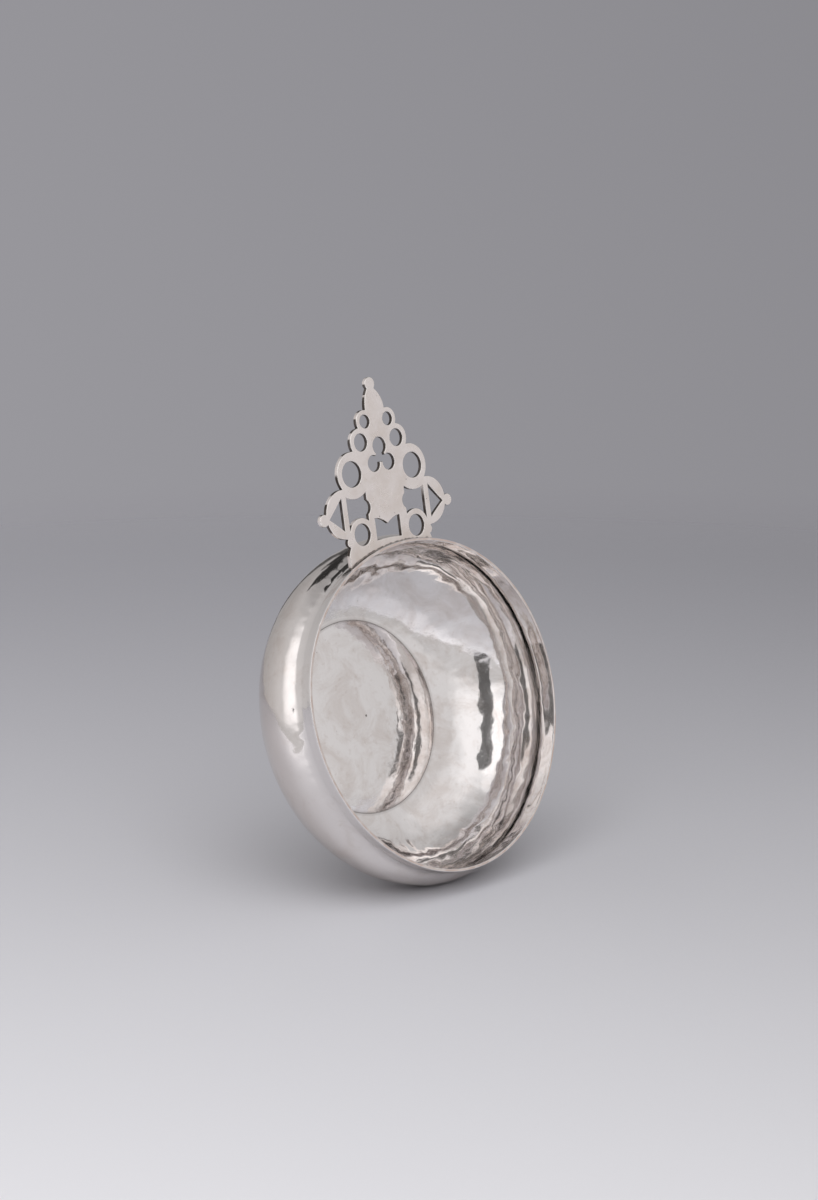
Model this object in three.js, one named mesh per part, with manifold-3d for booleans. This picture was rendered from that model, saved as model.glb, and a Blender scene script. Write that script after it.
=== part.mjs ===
// A silver porringer: a bowl raised from one sheet of metal, one cast and pierced handle, and their solder.
// Millimetres, +Z up. The bowl stands on its foot ring with the mouth up, and the handle points along +X.
import * as THREE from "three";
import { mergeVertices } from "three/addons/utils/BufferGeometryUtils.js";
import Module from "manifold-3d";

const wasm = await Module();
wasm.setup();

// Bowl, outside sizes
const rimRadius = 65;
const bowlHeight = 46.8;
const lipHeight = 6.9;
const lipFlare = 0.4;
const bellyRadius = 69.1;
const bellyHeight = 30.2;
const footWidth = 2.6;

// Shape of the wall: how steeply it leaves the foot, and how full it is below and above the belly
const footRise = THREE.MathUtils.degToRad(12);
const footReach = 13.5;
const bellyDrop = 16.5;
const shoulderRise = 4.6;
const shoulderLean = 2.1;

// Metal, and the raised boss inside
const wall = 1.05;
const rimThickness = 1.6;
const creaseRadius = 38.9;
const creaseThickness = 0.8;
const bossRise = 2.6;
const bossFlatness = 2.8;

// A hammered bowl is never quite round: its wall is drawn out by these amounts, towards these bearings
const ovalAmount = 0.58;
const ovalBearing = THREE.MathUtils.degToRad(-50.5);
const lobedAmount = 0.86;
const lobedBearing = THREE.MathUtils.degToRad(-54.1);

// Handle plate, and how it sits on the lip
const plateThickness = 1.8;
const plateEdgeRound = 0.35;
const plateDrop = 1.54;
const handleTilt = THREE.MathUtils.degToRad(7.4);
const handleSkew = THREE.MathUtils.degToRad(-4.4);
const handleShift = 0.28;
const seamGap = 0.3;

// Scalloped edge of the handle. Out is measured from the lip, and side from the handle's centre line.
const smallLobe = { out: 47.1, side: 6.1, radius: 4.5 };
const middleLobe = { out: 39.4, side: 9.55, radius: 5.6 };
const largeLobe = { out: 27.9, side: 15.3, radius: 8.6 };
const wing = { out: 13.2, side: 22.6, radius: 9.55 };
const tab = { out: 2.2, side: 21, radius: 2 };

// Knobs at the tip and on the wings. The casting is uneven, and its tip leans to the left.
const tipReach = 14.1;
const tipLean = 0.9;
const tipKnobRadius = 2.6;
const sideKnobDrop = 1;
const sideKnobReach = 1.15;
const sideKnobRadius = 2.4;

// Bell between the small lobes and the tip knob
const bellHalfWidth = 5.1;
const bellFullness = 4.4;
const bellNeckHalfWidth = 1.9;

// Root, which spreads from the notches under the tabs to the width of the joint
const rootNotchDrop = 1.9;
const rootSpread = 1.8;
const rootFoot = 1.5;

// Round holes, each in the middle of its lobe apart from the largest
const smallHoleRadius = 2.55;
const middleHoleRadius = 3.35;
const largeHoleRadius = 4.95;
const largeHoleShift = 1.05;
const lowerHole = { out: 4.5, side: 14.65, radius: 4.15 };

// Trefoil above the shield: a lobe on top, one at each side, and a round heart that joins them
const trefoilOut = 33.3;
const trefoilHeartRadius = 2.3;
const trefoilTopReach = 3.8;
const trefoilTopRadius = 3.4;
const trefoilSideReach = 4.7;
const trefoilSideRadius = 3.15;
const trefoilSideTurn = THREE.MathUtils.degToRad(123.5);

// Shield, with a scoop in each side and a point at its foot
const shieldHalfWidth = 10.3;
const scoopOut = 14.6;
const scoopRadius = 3.2;
const scoopDepth = 1.6;
const shieldFootOut = 9.7;
const shieldPoint = 2.6;

// Windows beside the shield, each between two rings and an upright bar
const upperRing = 4.7;
const lowerRing = 2.35;
const barOverlap = 0.15;
const barWidth = 2.3;

// Three-cornered window in each wing
const triangleHalfHeight = 6.6;
const triangleEdge = 1.55;

// Window between the shield and the root
const rootWindowHalfWidth = 6.6;
const rootWindowShift = 0.6;
const rootStrip = 1.8;

// Solder fillet in the corner under the root
const filletLeg = 1.7;
const filletInset = 1.5;

// Smoothness
const turnSegments = 72;
const wallSteps = 13;
const shoulderSteps = 5;
const rimSteps = 6;
const bossSteps = 8;
const arcSteps = 6;
const holeSegments = 24;
const filletSteps = 4;

// Shared shapes and helpers

// How far the wall stands out at a bearing, as a share of its true radius
function outOfRound(bearing) {
  const oval = ovalAmount * Math.cos(2 * (bearing - ovalBearing));
  const lobed = lobedAmount * Math.cos(3 * (bearing - lobedBearing));
  return (oval + lobed) / rimRadius;
}

// Draws a turned solid out of round. The foot stays true, and the change grows up to the belly.
function drawOut(geometry) {
  const place = geometry.attributes.position;
  for (let i = 0; i < place.count; i++) {
    const bearing = Math.atan2(place.getY(i), place.getX(i));
    const share = THREE.MathUtils.smoothstep(place.getZ(i), 0, bellyHeight);
    const stretch = 1 + share * outOfRound(bearing);
    place.setXY(i, place.getX(i) * stretch, place.getY(i) * stretch);
  }
  return geometry;
}

// Makes the vertices of neighbouring faces one, and drops the faces that this leaves without an area
function weld(geometry) {
  geometry.deleteAttribute("uv");
  geometry.deleteAttribute("normal");
  const welded = mergeVertices(geometry);
  const corners = welded.index.array;
  const kept = [];
  for (let i = 0; i < corners.length; i += 3) {
    const [a, b, c] = corners.slice(i, i + 3);
    if (a !== b && b !== c && c !== a) {
      kept.push(a, b, c);
    }
  }
  welded.setIndex(kept);
  return welded;
}

// Turns a profile of [radius, height] points about the vertical axis
function turned(profile, segments = turnSegments) {
  const points = profile.map(([radius, height]) => new THREE.Vector2(radius, height));
  const geometry = new THREE.LatheGeometry(points, segments);
  geometry.rotateX(Math.PI / 2);
  return weld(geometry);
}

function toSolid(geometry) {
  const vertProperties = new Float32Array(geometry.attributes.position.array);
  const triVerts = new Uint32Array(geometry.index.array);
  return new wasm.Manifold(new wasm.Mesh({ numProp: 3, vertProperties, triVerts }));
}

function fromSolid(solid) {
  const mesh = solid.getMesh();
  const geometry = new THREE.BufferGeometry();
  geometry.setAttribute("position", new THREE.BufferAttribute(new Float32Array(mesh.vertProperties), 3));
  geometry.setIndex(new THREE.BufferAttribute(new Uint32Array(mesh.triVerts), 1));
  return geometry;
}

function silver(color, roughness) {
  return new THREE.MeshStandardMaterial({ color, roughness, metalness: 1 });
}

// Bowl

const neckHeight = bowlHeight - lipHeight;
const neckRadius = rimRadius - lipFlare;
const footInner = creaseRadius - wall;
const footOuter = footInner + footWidth;

const lowerWall = new THREE.CubicBezierCurve(
  new THREE.Vector2(footOuter, 0),
  new THREE.Vector2(footOuter + footReach * Math.cos(footRise), footReach * Math.sin(footRise)),
  new THREE.Vector2(bellyRadius, bellyHeight - bellyDrop),
  new THREE.Vector2(bellyRadius, bellyHeight),
);
const shoulder = new THREE.CubicBezierCurve(
  new THREE.Vector2(bellyRadius, bellyHeight),
  new THREE.Vector2(bellyRadius, bellyHeight + shoulderRise),
  new THREE.Vector2(neckRadius + shoulderLean, neckHeight - shoulderLean),
  new THREE.Vector2(neckRadius, neckHeight),
);

// Points up a wall curve, each moved inwards by the metal's thickness
function wallLine(curve, steps, thickness) {
  const line = [];
  for (let i = 0; i <= steps; i++) {
    const point = curve.getPoint(i / steps);
    const along = curve.getTangent(i / steps);
    line.push([point.x - thickness * along.y, point.y + thickness * along.x]);
  }
  return line;
}

// The whole wall without its lip, from the foot to the neck
function wholeWall(thickness) {
  const lower = wallLine(lowerWall, wallSteps, thickness);
  const upper = wallLine(shoulder, shoulderSteps, thickness);
  return [...lower, ...upper.slice(1)];
}

// Half a turn over the hammered edge of the lip, from its outer face to its inner one
function rimEdge() {
  const half = rimThickness / 2;
  const edge = [];
  for (let i = 0; i <= rimSteps; i++) {
    const angle = (i / rimSteps) * Math.PI;
    edge.push([rimRadius - half + half * Math.cos(angle), bowlHeight - half + half * Math.sin(angle)]);
  }
  return edge;
}

// The boss, from the axis out to its edge
function bossLine(edgeRadius, edgeHeight) {
  const line = [];
  for (let i = 0; i <= bossSteps; i++) {
    const share = i / bossSteps;
    line.push([edgeRadius * share, edgeHeight + bossRise * (1 - share ** bossFlatness)]);
  }
  return line;
}

function bowlGeometry() {
  const profile = [
    ...bossLine(footInner, 0),
    ...wholeWall(0),
    ...rimEdge(),
    ...wholeWall(wall).reverse(),
    ...bossLine(creaseRadius, creaseThickness).reverse(),
  ];
  return drawOut(turned(profile));
}

// Radius of the lip's outer face at a height
function lipRadius(height) {
  return THREE.MathUtils.lerp(neckRadius, rimRadius, (height - neckHeight) / (lipHeight - rimThickness / 2));
}

// Handle, drawn flat: x runs out from the lip along the centre line, and y to the side

const tipKnob = { out: smallLobe.out + tipReach, side: tipLean, radius: tipKnobRadius };
const sideKnob = {
  out: wing.out - sideKnobDrop,
  side: wing.side + wing.radius + sideKnobReach,
  radius: sideKnobRadius,
};
const smallHole = { ...smallLobe, radius: smallHoleRadius };
const middleHole = { ...middleLobe, radius: middleHoleRadius };
const largeHole = { ...largeLobe, side: largeLobe.side + largeHoleShift, radius: largeHoleRadius };

const upperRingRadius = largeHole.radius + upperRing;
const lowerRingRadius = lowerHole.radius + lowerRing;
const barInside = lowerHole.side + lowerRingRadius - barOverlap;
const rootHalfWidth = tab.side + rootSpread;
const rootDip = rimRadius - Math.sqrt(rimRadius ** 2 - rootHalfWidth ** 2);

const trefoilHeart = { out: trefoilOut, side: 0, radius: trefoilHeartRadius };
const trefoilTop = { out: trefoilOut + trefoilTopReach, side: 0, radius: trefoilTopRadius };
const trefoilSide = {
  out: trefoilOut + trefoilSideReach * Math.cos(trefoilSideTurn),
  side: trefoilSideReach * Math.sin(trefoilSideTurn),
  radius: trefoilSideRadius,
};

// The circle of a feature, on the left with side 1 and on the right with side -1
function circleOf(feature, side) {
  return { x: feature.out, y: side * feature.side, radius: feature.radius };
}

// The crossing of two circles that lies to the right of the way from the first to the second
function crossing(first, second) {
  const gap = Math.hypot(second.x - first.x, second.y - first.y);
  const reach = (gap ** 2 + first.radius ** 2 - second.radius ** 2) / (2 * gap);
  const offset = halfChord(first.radius, reach);
  const ux = (second.x - first.x) / gap;
  const uy = (second.y - first.y) / gap;
  return new THREE.Vector2(first.x + reach * ux + offset * uy, first.y + reach * uy - offset * ux);
}

// Half the chord of a circle at a distance from its centre, and nothing where it is passed by
function halfChord(radius, distance) {
  return Math.sqrt(Math.max(radius ** 2 - distance ** 2, 0));
}

// The point of a circle at a given y, above its centre along x with end 1 and below it with end -1
function pointAtSide(circle, y, end) {
  return new THREE.Vector2(circle.x + end * halfChord(circle.radius, y - circle.y), y);
}

// The point of a circle at a given x, on the side away from the centre line
function pointAtOut(circle, x, side) {
  return new THREE.Vector2(x, circle.y + side * halfChord(circle.radius, x - circle.x));
}

// Runs round a circle from one point to another
function arc(path, circle, from, to, clockwise = false) {
  const start = Math.atan2(from.y - circle.y, from.x - circle.x);
  const end = Math.atan2(to.y - circle.y, to.x - circle.x);
  path.absarc(circle.x, circle.y, circle.radius, start, end, clockwise);
}

// Runs along the outside of a row of crossing circles, from a point on the first to a point on the last
function scallops(path, circles, from, to) {
  let start = from;
  circles.forEach((circle, i) => {
    const end = i + 1 < circles.length ? crossing(circle, circles[i + 1]) : to;
    arc(path, circle, start, end);
    start = end;
  });
}

// The foot of the bell, where it leaves the small lobe
function bellFoot(side) {
  return pointAtSide(circleOf(smallLobe, side), side * bellHalfWidth, 1);
}

// Where the bell narrows to the tip knob
function bellNeck(side) {
  return pointAtSide(circleOf(tipKnob, 1), tipKnob.side + side * bellNeckHalfWidth, -1);
}

// Up the right side from the root, round the tip knob, and down the left side
function plateOutline() {
  const outline = new THREE.Shape();
  const edge = [tab, wing, sideKnob, wing, largeLobe, middleLobe, smallLobe];
  const right = edge.map((feature) => circleOf(feature, -1));
  const left = edge.map((feature) => circleOf(feature, 1)).reverse();
  const notchRight = pointAtOut(circleOf(tab, -1), tab.out - rootNotchDrop, -1);
  const notchLeft = pointAtOut(circleOf(tab, 1), tab.out - rootNotchDrop, 1);
  const footRight = bellFoot(-1);
  const footLeft = bellFoot(1);
  const neckRight = bellNeck(-1);
  const neckLeft = bellNeck(1);
  outline.moveTo(-2 * rootDip, -rootHalfWidth);
  outline.lineTo(rootFoot - rootDip, -rootHalfWidth);
  outline.lineTo(notchRight.x, notchRight.y);
  scallops(outline, right, notchRight, footRight);
  outline.quadraticCurveTo(footRight.x + bellFullness, footRight.y, neckRight.x, neckRight.y);
  arc(outline, circleOf(tipKnob, 1), neckRight, neckLeft);
  outline.quadraticCurveTo(footLeft.x + bellFullness, footLeft.y, footLeft.x, footLeft.y);
  scallops(outline, left, footLeft, notchLeft);
  outline.lineTo(rootFoot - rootDip, rootHalfWidth);
  outline.lineTo(-2 * rootDip, rootHalfWidth);
  outline.closePath();
  return outline;
}

// Cuts a round hole with softened edges. Circles that overlap cut one hole of several lobes.
function holeCutter(circle) {
  const { x, y, radius } = circle;
  const over = plateThickness;
  const flared = radius + plateEdgeRound + over;
  const cutter = turned([
    [0, -plateThickness - over],
    [flared, -plateThickness - over],
    [radius, plateEdgeRound - plateThickness],
    [radius, -plateEdgeRound],
    [flared, over],
    [0, over],
  ], holeSegments);
  return toSolid(cutter.translate(x, y, 0));
}

// A window beside the shield, whose scoop it takes in
function shieldWindow(side) {
  const path = new THREE.Path();
  const upper = { ...circleOf(largeHole, side), radius: upperRingRadius };
  const lower = { ...circleOf(lowerHole, side), radius: lowerRingRadius };
  const scoopSide = shieldHalfWidth - scoopDepth + scoopRadius;
  const scoop = circleOf({ out: scoopOut, side: scoopSide, radius: scoopRadius }, side);
  const inside = side * shieldHalfWidth;
  const outside = side * barInside;
  const innerTop = pointAtSide(upper, inside, -1);
  const outerTop = pointAtSide(upper, outside, -1);
  const outerFoot = pointAtSide(lower, outside, 1);
  const innerFoot = pointAtSide(lower, inside, 1);
  const scoopFoot = pointAtSide(scoop, inside, -1);
  const scoopTop = pointAtSide(scoop, inside, 1);
  path.moveTo(innerTop.x, innerTop.y);
  arc(path, upper, innerTop, outerTop, side > 0);
  path.lineTo(outerFoot.x, outerFoot.y);
  arc(path, lower, outerFoot, innerFoot, side > 0);
  path.lineTo(scoopFoot.x, scoopFoot.y);
  arc(path, scoop, scoopFoot, scoopTop, side < 0);
  path.closePath();
  return path;
}

// A window in the wing, between the bar and the side knob
function triangleWindow(side) {
  const path = new THREE.Path();
  const upright = side * (barInside + barWidth);
  path.moveTo(wing.out + triangleHalfHeight, upright);
  path.lineTo(sideKnob.out, side * (wing.side + wing.radius - triangleEdge));
  path.lineTo(wing.out - triangleHalfHeight, upright);
  path.closePath();
  return path;
}

// The window at the root: its foot follows the lip, and its top is the two-curved foot of the shield
function rootWindow() {
  const path = new THREE.Path();
  const right = rootWindowShift - rootWindowHalfWidth;
  const left = rootWindowShift + rootWindowHalfWidth;
  const strip = { x: -rimRadius, y: 0, radius: rimRadius + rootStrip };
  const footRight = pointAtSide(strip, right, 1);
  const footLeft = pointAtSide(strip, left, 1);
  const point = shieldFootOut - shieldPoint;
  path.moveTo(footLeft.x, footLeft.y);
  path.lineTo(shieldFootOut, left);
  path.quadraticCurveTo(shieldFootOut, left / 2, point, rootWindowShift);
  path.quadraticCurveTo(shieldFootOut, right / 2, shieldFootOut, right);
  path.lineTo(footRight.x, footRight.y);
  arc(path, strip, footRight, footLeft);
  return path;
}

// The plate with its windows, its face at z = 0
function windowedPlate() {
  const outline = plateOutline();
  outline.holes = [rootWindow()];
  for (const side of [-1, 1]) {
    outline.holes.push(shieldWindow(side), triangleWindow(side));
  }
  const geometry = new THREE.ExtrudeGeometry(outline, {
    curveSegments: arcSteps,
    depth: plateThickness - 2 * plateEdgeRound,
    bevelThickness: plateEdgeRound,
    bevelSize: plateEdgeRound,
    bevelOffset: -plateEdgeRound,
    bevelSegments: 1,
  });
  geometry.translate(0, 0, plateEdgeRound - plateThickness);
  return toSolid(weld(geometry));
}

// Every round hole, and the lobes of the trefoil
function roundHoles() {
  const mirrored = [smallHole, middleHole, largeHole, lowerHole, trefoilSide];
  const left = mirrored.map((hole) => circleOf(hole, 1));
  const right = mirrored.map((hole) => circleOf(hole, -1));
  const central = [circleOf(trefoilTop, 1), circleOf(trefoilHeart, 1)];
  return wasm.Manifold.union([...central, ...left, ...right].map(holeCutter));
}

// Where the flat drawing lands on the bowl: its face a little below the rim, tilted up and slightly askew
const seat = new THREE.Object3D();
seat.position.set(rimRadius, handleShift, bowlHeight - plateDrop);
seat.rotation.set(0, -handleTilt, handleSkew);
seat.updateMatrix();
const unseat = seat.matrix.clone().invert();

// A disc as wide as the lip and the seam, which trims the root to the curve of the bowl
function lipDisc() {
  const low = neckHeight - filletLeg;
  const high = bowlHeight + plateThickness;
  const disc = turned([
    [0, low],
    [lipRadius(low) + seamGap, low],
    [lipRadius(high) + seamGap, high],
    [0, high],
  ]);
  return toSolid(drawOut(disc).applyMatrix4(unseat));
}

function handleGeometry() {
  return fromSolid(windowedPlate().subtract(roundHoles()).subtract(lipDisc()));
}

// Solder: a ring round the lip with a hollow face, of which only the stretch under the root is kept
function solderGeometry() {
  const top = bowlHeight - plateDrop;
  const corner = top - plateThickness - seamGap;
  const foot = corner - filletLeg;
  const face = new THREE.QuadraticBezierCurve(
    new THREE.Vector2(lipRadius(foot) + seamGap, foot),
    new THREE.Vector2(lipRadius(corner) + seamGap + filletLeg / 4, corner - filletLeg / 4),
    new THREE.Vector2(lipRadius(corner) + seamGap + filletLeg, corner),
  );
  const ring = drawOut(turned([
    ...face.getPoints(filletSteps).map((point) => [point.x, point.y]),
    [lipRadius(corner) + seamGap + filletLeg, top],
    [lipRadius(top) + seamGap, top],
    [lipRadius(foot) + seamGap, foot],
  ]));
  const blockDepth = 2 * (plateThickness + filletLeg);
  const block = new THREE.BoxGeometry(4 * rootDip, 2 * (rootHalfWidth - filletInset), blockDepth);
  block.translate(0, 0, -plateThickness - seamGap - blockDepth / 2);
  return fromSolid(toSolid(ring).intersect(toSolid(weld(block).applyMatrix4(seat.matrix))));
}

// The pieces

const bowl = new THREE.Mesh(bowlGeometry(), silver(0xcdc9c4, 0.16));
bowl.name = "bowl";

const handle = new THREE.Mesh(handleGeometry(), silver(0xd2cdc7, 0.34));
handle.name = "handle";
handle.position.copy(seat.position);
handle.rotation.copy(seat.rotation);

const solder = new THREE.Mesh(solderGeometry(), silver(0xb9b4ad, 0.42));
solder.name = "handle_solder";

// The whole stands with the middle of its box over the origin
const porringer = new THREE.Group();
porringer.add(bowl, handle, solder);
porringer.updateMatrixWorld(true);
const middle = new THREE.Box3().setFromObject(porringer, true).getCenter(new THREE.Vector3());
porringer.position.set(-middle.x, -middle.y, 0);

const part = new THREE.Group();
part.add(porringer);

export default part;
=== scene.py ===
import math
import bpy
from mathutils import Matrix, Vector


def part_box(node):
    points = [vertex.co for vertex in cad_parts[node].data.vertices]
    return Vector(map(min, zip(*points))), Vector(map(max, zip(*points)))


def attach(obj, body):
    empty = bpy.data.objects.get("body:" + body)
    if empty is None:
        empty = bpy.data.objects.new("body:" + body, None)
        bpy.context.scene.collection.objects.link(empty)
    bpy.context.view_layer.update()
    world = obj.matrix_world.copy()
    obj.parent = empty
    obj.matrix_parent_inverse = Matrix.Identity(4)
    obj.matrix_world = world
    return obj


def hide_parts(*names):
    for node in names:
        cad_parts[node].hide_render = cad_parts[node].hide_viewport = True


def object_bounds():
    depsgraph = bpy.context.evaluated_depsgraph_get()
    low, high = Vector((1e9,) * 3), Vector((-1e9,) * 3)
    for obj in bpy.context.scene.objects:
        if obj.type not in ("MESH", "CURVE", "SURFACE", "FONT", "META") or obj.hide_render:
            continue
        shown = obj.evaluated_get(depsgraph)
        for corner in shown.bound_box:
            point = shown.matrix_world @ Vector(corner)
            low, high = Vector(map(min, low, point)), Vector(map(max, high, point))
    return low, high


bl_info = {
    "name": "Silver porringer",
    "version": (1, 0, 0),
    "blender": (4, 5, 0),
    "location": "3D View > Sidebar > Porringer",
    "description": "Raises the bowl, casts the pierced handle, runs the solder and lights them in a small studio",
    "category": "Object",
}

import bmesh
import bpy
import numpy as np
from bpy.props import FloatProperty, FloatVectorProperty, IntProperty, PointerProperty
from bpy.types import Operator, Panel, PropertyGroup
from mathutils import Matrix, Vector, kdtree, noise

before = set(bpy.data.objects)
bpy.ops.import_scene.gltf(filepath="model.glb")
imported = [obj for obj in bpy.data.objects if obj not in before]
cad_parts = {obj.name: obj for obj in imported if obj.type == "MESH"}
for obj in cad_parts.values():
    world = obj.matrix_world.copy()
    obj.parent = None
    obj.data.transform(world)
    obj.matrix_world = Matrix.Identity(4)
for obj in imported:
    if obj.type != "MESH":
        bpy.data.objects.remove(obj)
packed_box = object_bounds()

MM = 0.001
BODY = "root"


# Settings that a user would change

class BowlSizes(PropertyGroup):
    """Sizes of the raised bowl."""

    rim_radius: FloatProperty(
        name="Rim radius", description="From the axis to the outside of the rim", default=65 * MM, unit="LENGTH"
    )
    height: FloatProperty(
        name="Height", description="From the foot to the top of the rim",
        default=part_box("bowl")[1].z, unit="LENGTH"
    )
    lip_height: FloatProperty(
        name="Lip height", description="From the neck up to the rim", default=6.9 * MM, unit="LENGTH"
    )
    lip_flare: FloatProperty(
        name="Lip flare", description="How far the rim stands out from the neck",
        default=0.4 * MM, unit="LENGTH"
    )
    belly_radius: FloatProperty(
        name="Belly radius", description="Outside radius at the widest place", default=69.1 * MM, unit="LENGTH"
    )
    belly_height: FloatProperty(
        name="Belly height", description="Height of the widest place", default=30.2 * MM, unit="LENGTH"
    )
    foot_width: FloatProperty(
        name="Foot width", description="Width of the flat ring that the bowl stands on",
        default=2.6 * MM, unit="LENGTH"
    )
    foot_rise: FloatProperty(
        name="Foot rise", description="Slope of the wall where it leaves the foot",
        default=math.radians(12), unit="ROTATION"
    )
    foot_reach: FloatProperty(
        name="Foot reach", description="How long the wall keeps the slope of the foot",
        default=13.5 * MM, unit="LENGTH"
    )
    belly_drop: FloatProperty(
        name="Belly fullness below", description="How long the wall stays upright below the belly",
        default=16.5 * MM, unit="LENGTH"
    )
    shoulder_rise: FloatProperty(
        name="Belly fullness above", description="How long the wall stays upright above the belly",
        default=4.6 * MM, unit="LENGTH"
    )
    shoulder_lean: FloatProperty(
        name="Shoulder lean", description="How long the shoulder leans in to the neck",
        default=2.9 * MM, unit="LENGTH"
    )
    shoulder_slope: FloatProperty(
        name="Shoulder slope", description="How far the shoulder leans where it meets the neck",
        default=math.radians(30), unit="ROTATION"
    )
    wall: FloatProperty(name="Wall", description="Thickness of the sheet", default=1.05 * MM, unit="LENGTH")
    rim_thickness: FloatProperty(
        name="Rim thickness", description="Thickness of the hammered edge", default=1.25 * MM, unit="LENGTH"
    )
    rim_squareness: FloatProperty(
        name="Rim squareness", description="2 is a round edge, and more is a flatter one",
        default=5.0, min=2, max=8
    )
    crease_radius: FloatProperty(
        name="Crease radius", description="From the axis to the crease round the boss",
        default=38.9 * MM, unit="LENGTH"
    )
    crease_thickness: FloatProperty(
        name="Crease thickness", description="Metal left under the crease", default=0.8 * MM, unit="LENGTH"
    )
    boss_rise: FloatProperty(
        name="Boss rise", description="Height of the boss above its crease", default=2.6 * MM, unit="LENGTH"
    )
    boss_flatness: FloatProperty(
        name="Boss flatness", description="2 is a plain dome, and more is a flatter one",
        default=2.8, min=1.5, max=6
    )
    oval: FloatProperty(
        name="Oval", description="How far the wall is drawn out to an oval", default=0.58 * MM, unit="LENGTH"
    )
    oval_bearing: FloatProperty(
        name="Oval bearing", description="Direction of the oval's long axis",
        default=math.radians(-50.5), unit="ROTATION"
    )
    lobed: FloatProperty(
        name="Three-lobed", description="How far the wall is drawn out to three lobes",
        default=0.86 * MM, unit="LENGTH"
    )
    lobed_bearing: FloatProperty(
        name="Lobe bearing", description="Direction of one of the three lobes",
        default=math.radians(-54.1), unit="ROTATION"
    )
    segments: IntProperty(name="Segments", description="Faces round the bowl", default=376, min=64, max=1024)


class BowlHammering(PropertyGroup):
    """Unevenness that the hammer and years of use leave in the bowl."""

    facet_depth: FloatProperty(
        name="Facet depth", description="Height of the broad hammer facets", default=0.13 * MM, unit="LENGTH"
    )
    facet_span: FloatProperty(
        name="Facet span", description="Size of a broad hammer facet", default=6.5 * MM, unit="LENGTH"
    )
    neck_wander: FloatProperty(
        name="Neck wander", description="How far the neck's line wanders up and down",
        default=0.55 * MM, unit="LENGTH"
    )
    neck_span: FloatProperty(
        name="Neck wander span", description="Length of one wander of the neck", default=4.2 * MM, unit="LENGTH"
    )
    thin_bearing: FloatProperty(
        name="Thin place bearing", description="Where the lip is hammered thin",
        default=math.radians(-89), unit="ROTATION"
    )
    thin_width: FloatProperty(
        name="Thin place width", description="How far round the lip the thin place reaches",
        default=math.radians(36), unit="ROTATION"
    )
    thin_lean: FloatProperty(
        name="Thin place lean", description="How far the lip's inside leans out there",
        default=0.85 * MM, unit="LENGTH"
    )
    punch_radius: FloatProperty(
        name="Punch radius", description="Radius of the mark of the centre punch",
        default=0.45 * MM, unit="LENGTH"
    )
    punch_depth: FloatProperty(
        name="Punch depth", description="Depth of the mark of the centre punch", default=0.3 * MM, unit="LENGTH"
    )
    nick_bearing: FloatProperty(
        name="Nick bearing", description="Where the rim has its small nick",
        default=math.radians(48.7), unit="ROTATION"
    )
    nick_width: FloatProperty(
        name="Nick width", description="Length of the nick along the rim", default=1.3 * MM, unit="LENGTH"
    )
    nick_depth: FloatProperty(
        name="Nick depth", description="Depth of the nick", default=0.4 * MM, unit="LENGTH"
    )


class HandleSizes(PropertyGroup):
    """Sizes of the cast handle's edges. Its outline and holes come from the frame."""

    edge_round: FloatProperty(
        name="Edge rounding", description="Radius of the worn edges", default=0.32 * MM, unit="LENGTH"
    )
    corner_turn: FloatProperty(
        name="Corner turn", description="A turn of the outline above this stays a corner",
        default=math.radians(50), unit="ROTATION"
    )
    step: FloatProperty(
        name="Outline step", description="Length of one face along the outline",
        default=0.35 * MM, unit="LENGTH"
    )
    shade_reach: FloatProperty(
        name="Shade reach", description="Walls of the piercing closer than this darken each other",
        default=8 * MM, unit="LENGTH"
    )
    edge_wander: FloatProperty(
        name="Edge wander", description="How far the filed edges wander", default=0.07 * MM, unit="LENGTH"
    )


class SolderSizes(PropertyGroup):
    """Sizes of the run of solder under the handle's root."""

    unevenness: FloatProperty(
        name="Unevenness", description="How far the run swells and thins", default=0.22 * MM, unit="LENGTH"
    )
    span: FloatProperty(name="Swell span", description="Length of one swell", default=2.6 * MM, unit="LENGTH")
    grain: FloatProperty(
        name="Fineness", description="Longest edge of a face of the run", default=0.6 * MM, unit="LENGTH"
    )


class SilverFinish(PropertyGroup):
    """Colours and gloss of the silver."""

    bowl_colour: FloatVectorProperty(
        name="Bowl", description="Polished silver of the bowl",
        default=(0.893, 0.868, 0.858), subtype="COLOR", min=0, max=1
    )
    # Also the colour of the painted shade over the bowl's outside, most below the belly.
    bowl_tarnish_and_shade: FloatVectorProperty(
        name="Bowl tarnish", description="Thin warm tarnish in clouds",
        default=(0.69, 0.622, 0.582), subtype="COLOR", min=0, max=1
    )
    handle_colour: FloatVectorProperty(
        name="Handle", description="Rubbed silver of the handle",
        default=(0.947, 0.885, 0.859), subtype="COLOR", min=0, max=1
    )
    handle_tarnish: FloatVectorProperty(
        name="Handle tarnish", description="Dull tarnish between the rubbed places",
        default=(0.77, 0.685, 0.621), subtype="COLOR", min=0, max=1
    )
    # Also the colour of painted shade: on the walls of the handle's piercing and in the crease round the boss.
    grime_and_shade: FloatVectorProperty(
        name="Grime", description="Old polish and oxide in creases and pits",
        default=(0.085, 0.07, 0.062), subtype="COLOR", min=0, max=1
    )
    worn_edge: FloatVectorProperty(
        name="Worn edge", description="Bare bright metal on the handle's worn edges",
        default=(1.0, 0.96, 0.92), subtype="COLOR", min=0, max=1
    )
    rim_tarnish: FloatVectorProperty(
        name="Rim tarnish", description="Copper-pink tarnish on the flat of the rim",
        default=(0.72, 0.61, 0.56), subtype="COLOR", min=0, max=1
    )
    solder_colour: FloatVectorProperty(
        name="Solder", description="Duller metal of the solder",
        default=(0.62, 0.57, 0.5), subtype="COLOR", min=0, max=1
    )
    bowl_roughness: FloatProperty(
        name="Bowl roughness", description="Roughness of the polished places",
        default=0.035, min=0, max=1, subtype="FACTOR"
    )
    handle_roughness: FloatProperty(
        name="Handle roughness", description="Roughness of the rubbed face",
        default=0.3, min=0, max=1, subtype="FACTOR"
    )


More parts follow.
